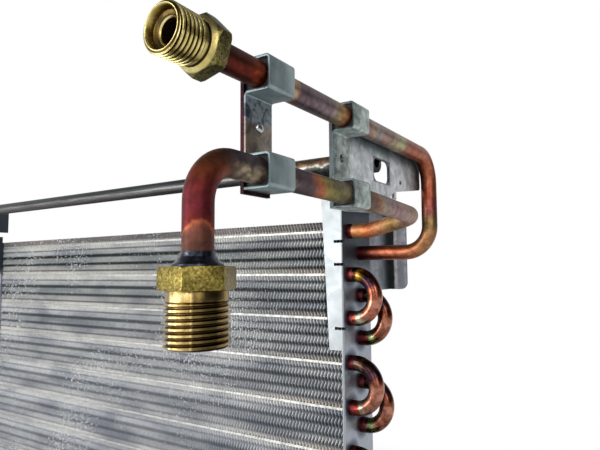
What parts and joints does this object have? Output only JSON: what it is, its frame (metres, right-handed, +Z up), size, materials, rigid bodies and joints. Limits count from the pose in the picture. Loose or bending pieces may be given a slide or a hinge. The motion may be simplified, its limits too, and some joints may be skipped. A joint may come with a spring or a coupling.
{
  "type": "condenser coil",
  "caption": "Finned-tube condenser coil with sheet end plates, brazed return bends, two clamped connecting pipes with brass fittings, and a brace rod above the core.",
  "frame": {"origin": "bottom centre of the finned core", "axes": "+X along the tubes towards the end with the connecting pipes, -Y out of the front face on the side the pipes reach, +Z up"},
  "size_m": [0.4907, 0.2635, 0.3799],
  "materials": {
    "fin_aluminium": "bright fin stock, thin sheet edges",
    "galvanised_sheet": "galvanised sheet steel, light spangle",
    "clamp_steel": "galvanised strip, dulled",
    "rivet_steel": "bright plated steel",
    "copper_tube": "drawn copper tube",
    "copper_bend": "drawn copper, heat-marked by brazing",
    "copper_pipe": "drawn copper, dull with heat tint",
    "brass_fitting": "turned brass",
    "braze_metal": "dark braze fillet",
    "cushion_rubber": "black rubber",
    "rod_steel": "drawn steel tube, plated",
    "sleeve_steel": "steel sleeve, heat-tinted tan"
  },
  "bodies": {
    "root": {"fin_pack": "fin_aluminium", "right_end_plate": "galvanised_sheet", "left_end_plate": "galvanised_sheet", "rear_bracket": "galvanised_sheet", "arm_bracket": "galvanised_sheet", "upper_pipe": "copper_pipe", "lower_pipe": "copper_pipe", "upper_fitting": "brass_fitting", "lower_fitting": "brass_fitting", "upper_braze_ring": "braze_metal", "lower_braze_ring": "braze_metal", "front_clamp_strip": "clamp_steel", "front_clamp_back_plate": "clamp_steel", "clamp_rivet": "rivet_steel", "rear_clamp_strip": "clamp_steel", "upper_front_cushion": "cushion_rubber", "lower_front_cushion": "cushion_rubber", "upper_rear_cushion": "cushion_rubber", "lower_rear_cushion": "cushion_rubber", "brace_rod": "rod_steel", "rod_sleeve": "sleeve_steel", "front_hairpin_1": "copper_tube", "front_hairpin_2": "copper_tube", "front_hairpin_3": "copper_tube", "front_hairpin_4": "copper_tube", "front_hairpin_5": "copper_tube", "front_hairpin_6": "copper_tube", "rear_hairpin_1": "copper_tube", "rear_hairpin_2": "copper_tube", "rear_hairpin_3": "copper_tube", "rear_hairpin_4": "copper_tube", "rear_hairpin_5": "copper_tube", "rear_hairpin_6": "copper_tube", "front_return_bend_1": "copper_bend", "front_return_bend_2": "copper_bend", "front_return_bend_3": "copper_bend", "front_return_bend_4": "copper_bend", "front_return_bend_5": "copper_bend", "rear_return_bend_1": "copper_bend", "rear_return_bend_2": "copper_bend", "rear_return_bend_3": "copper_bend", "rear_return_bend_4": "copper_bend", "rear_return_bend_5": "copper_bend", "crossover_bend": "copper_bend"}
  },
  "joints": []
}
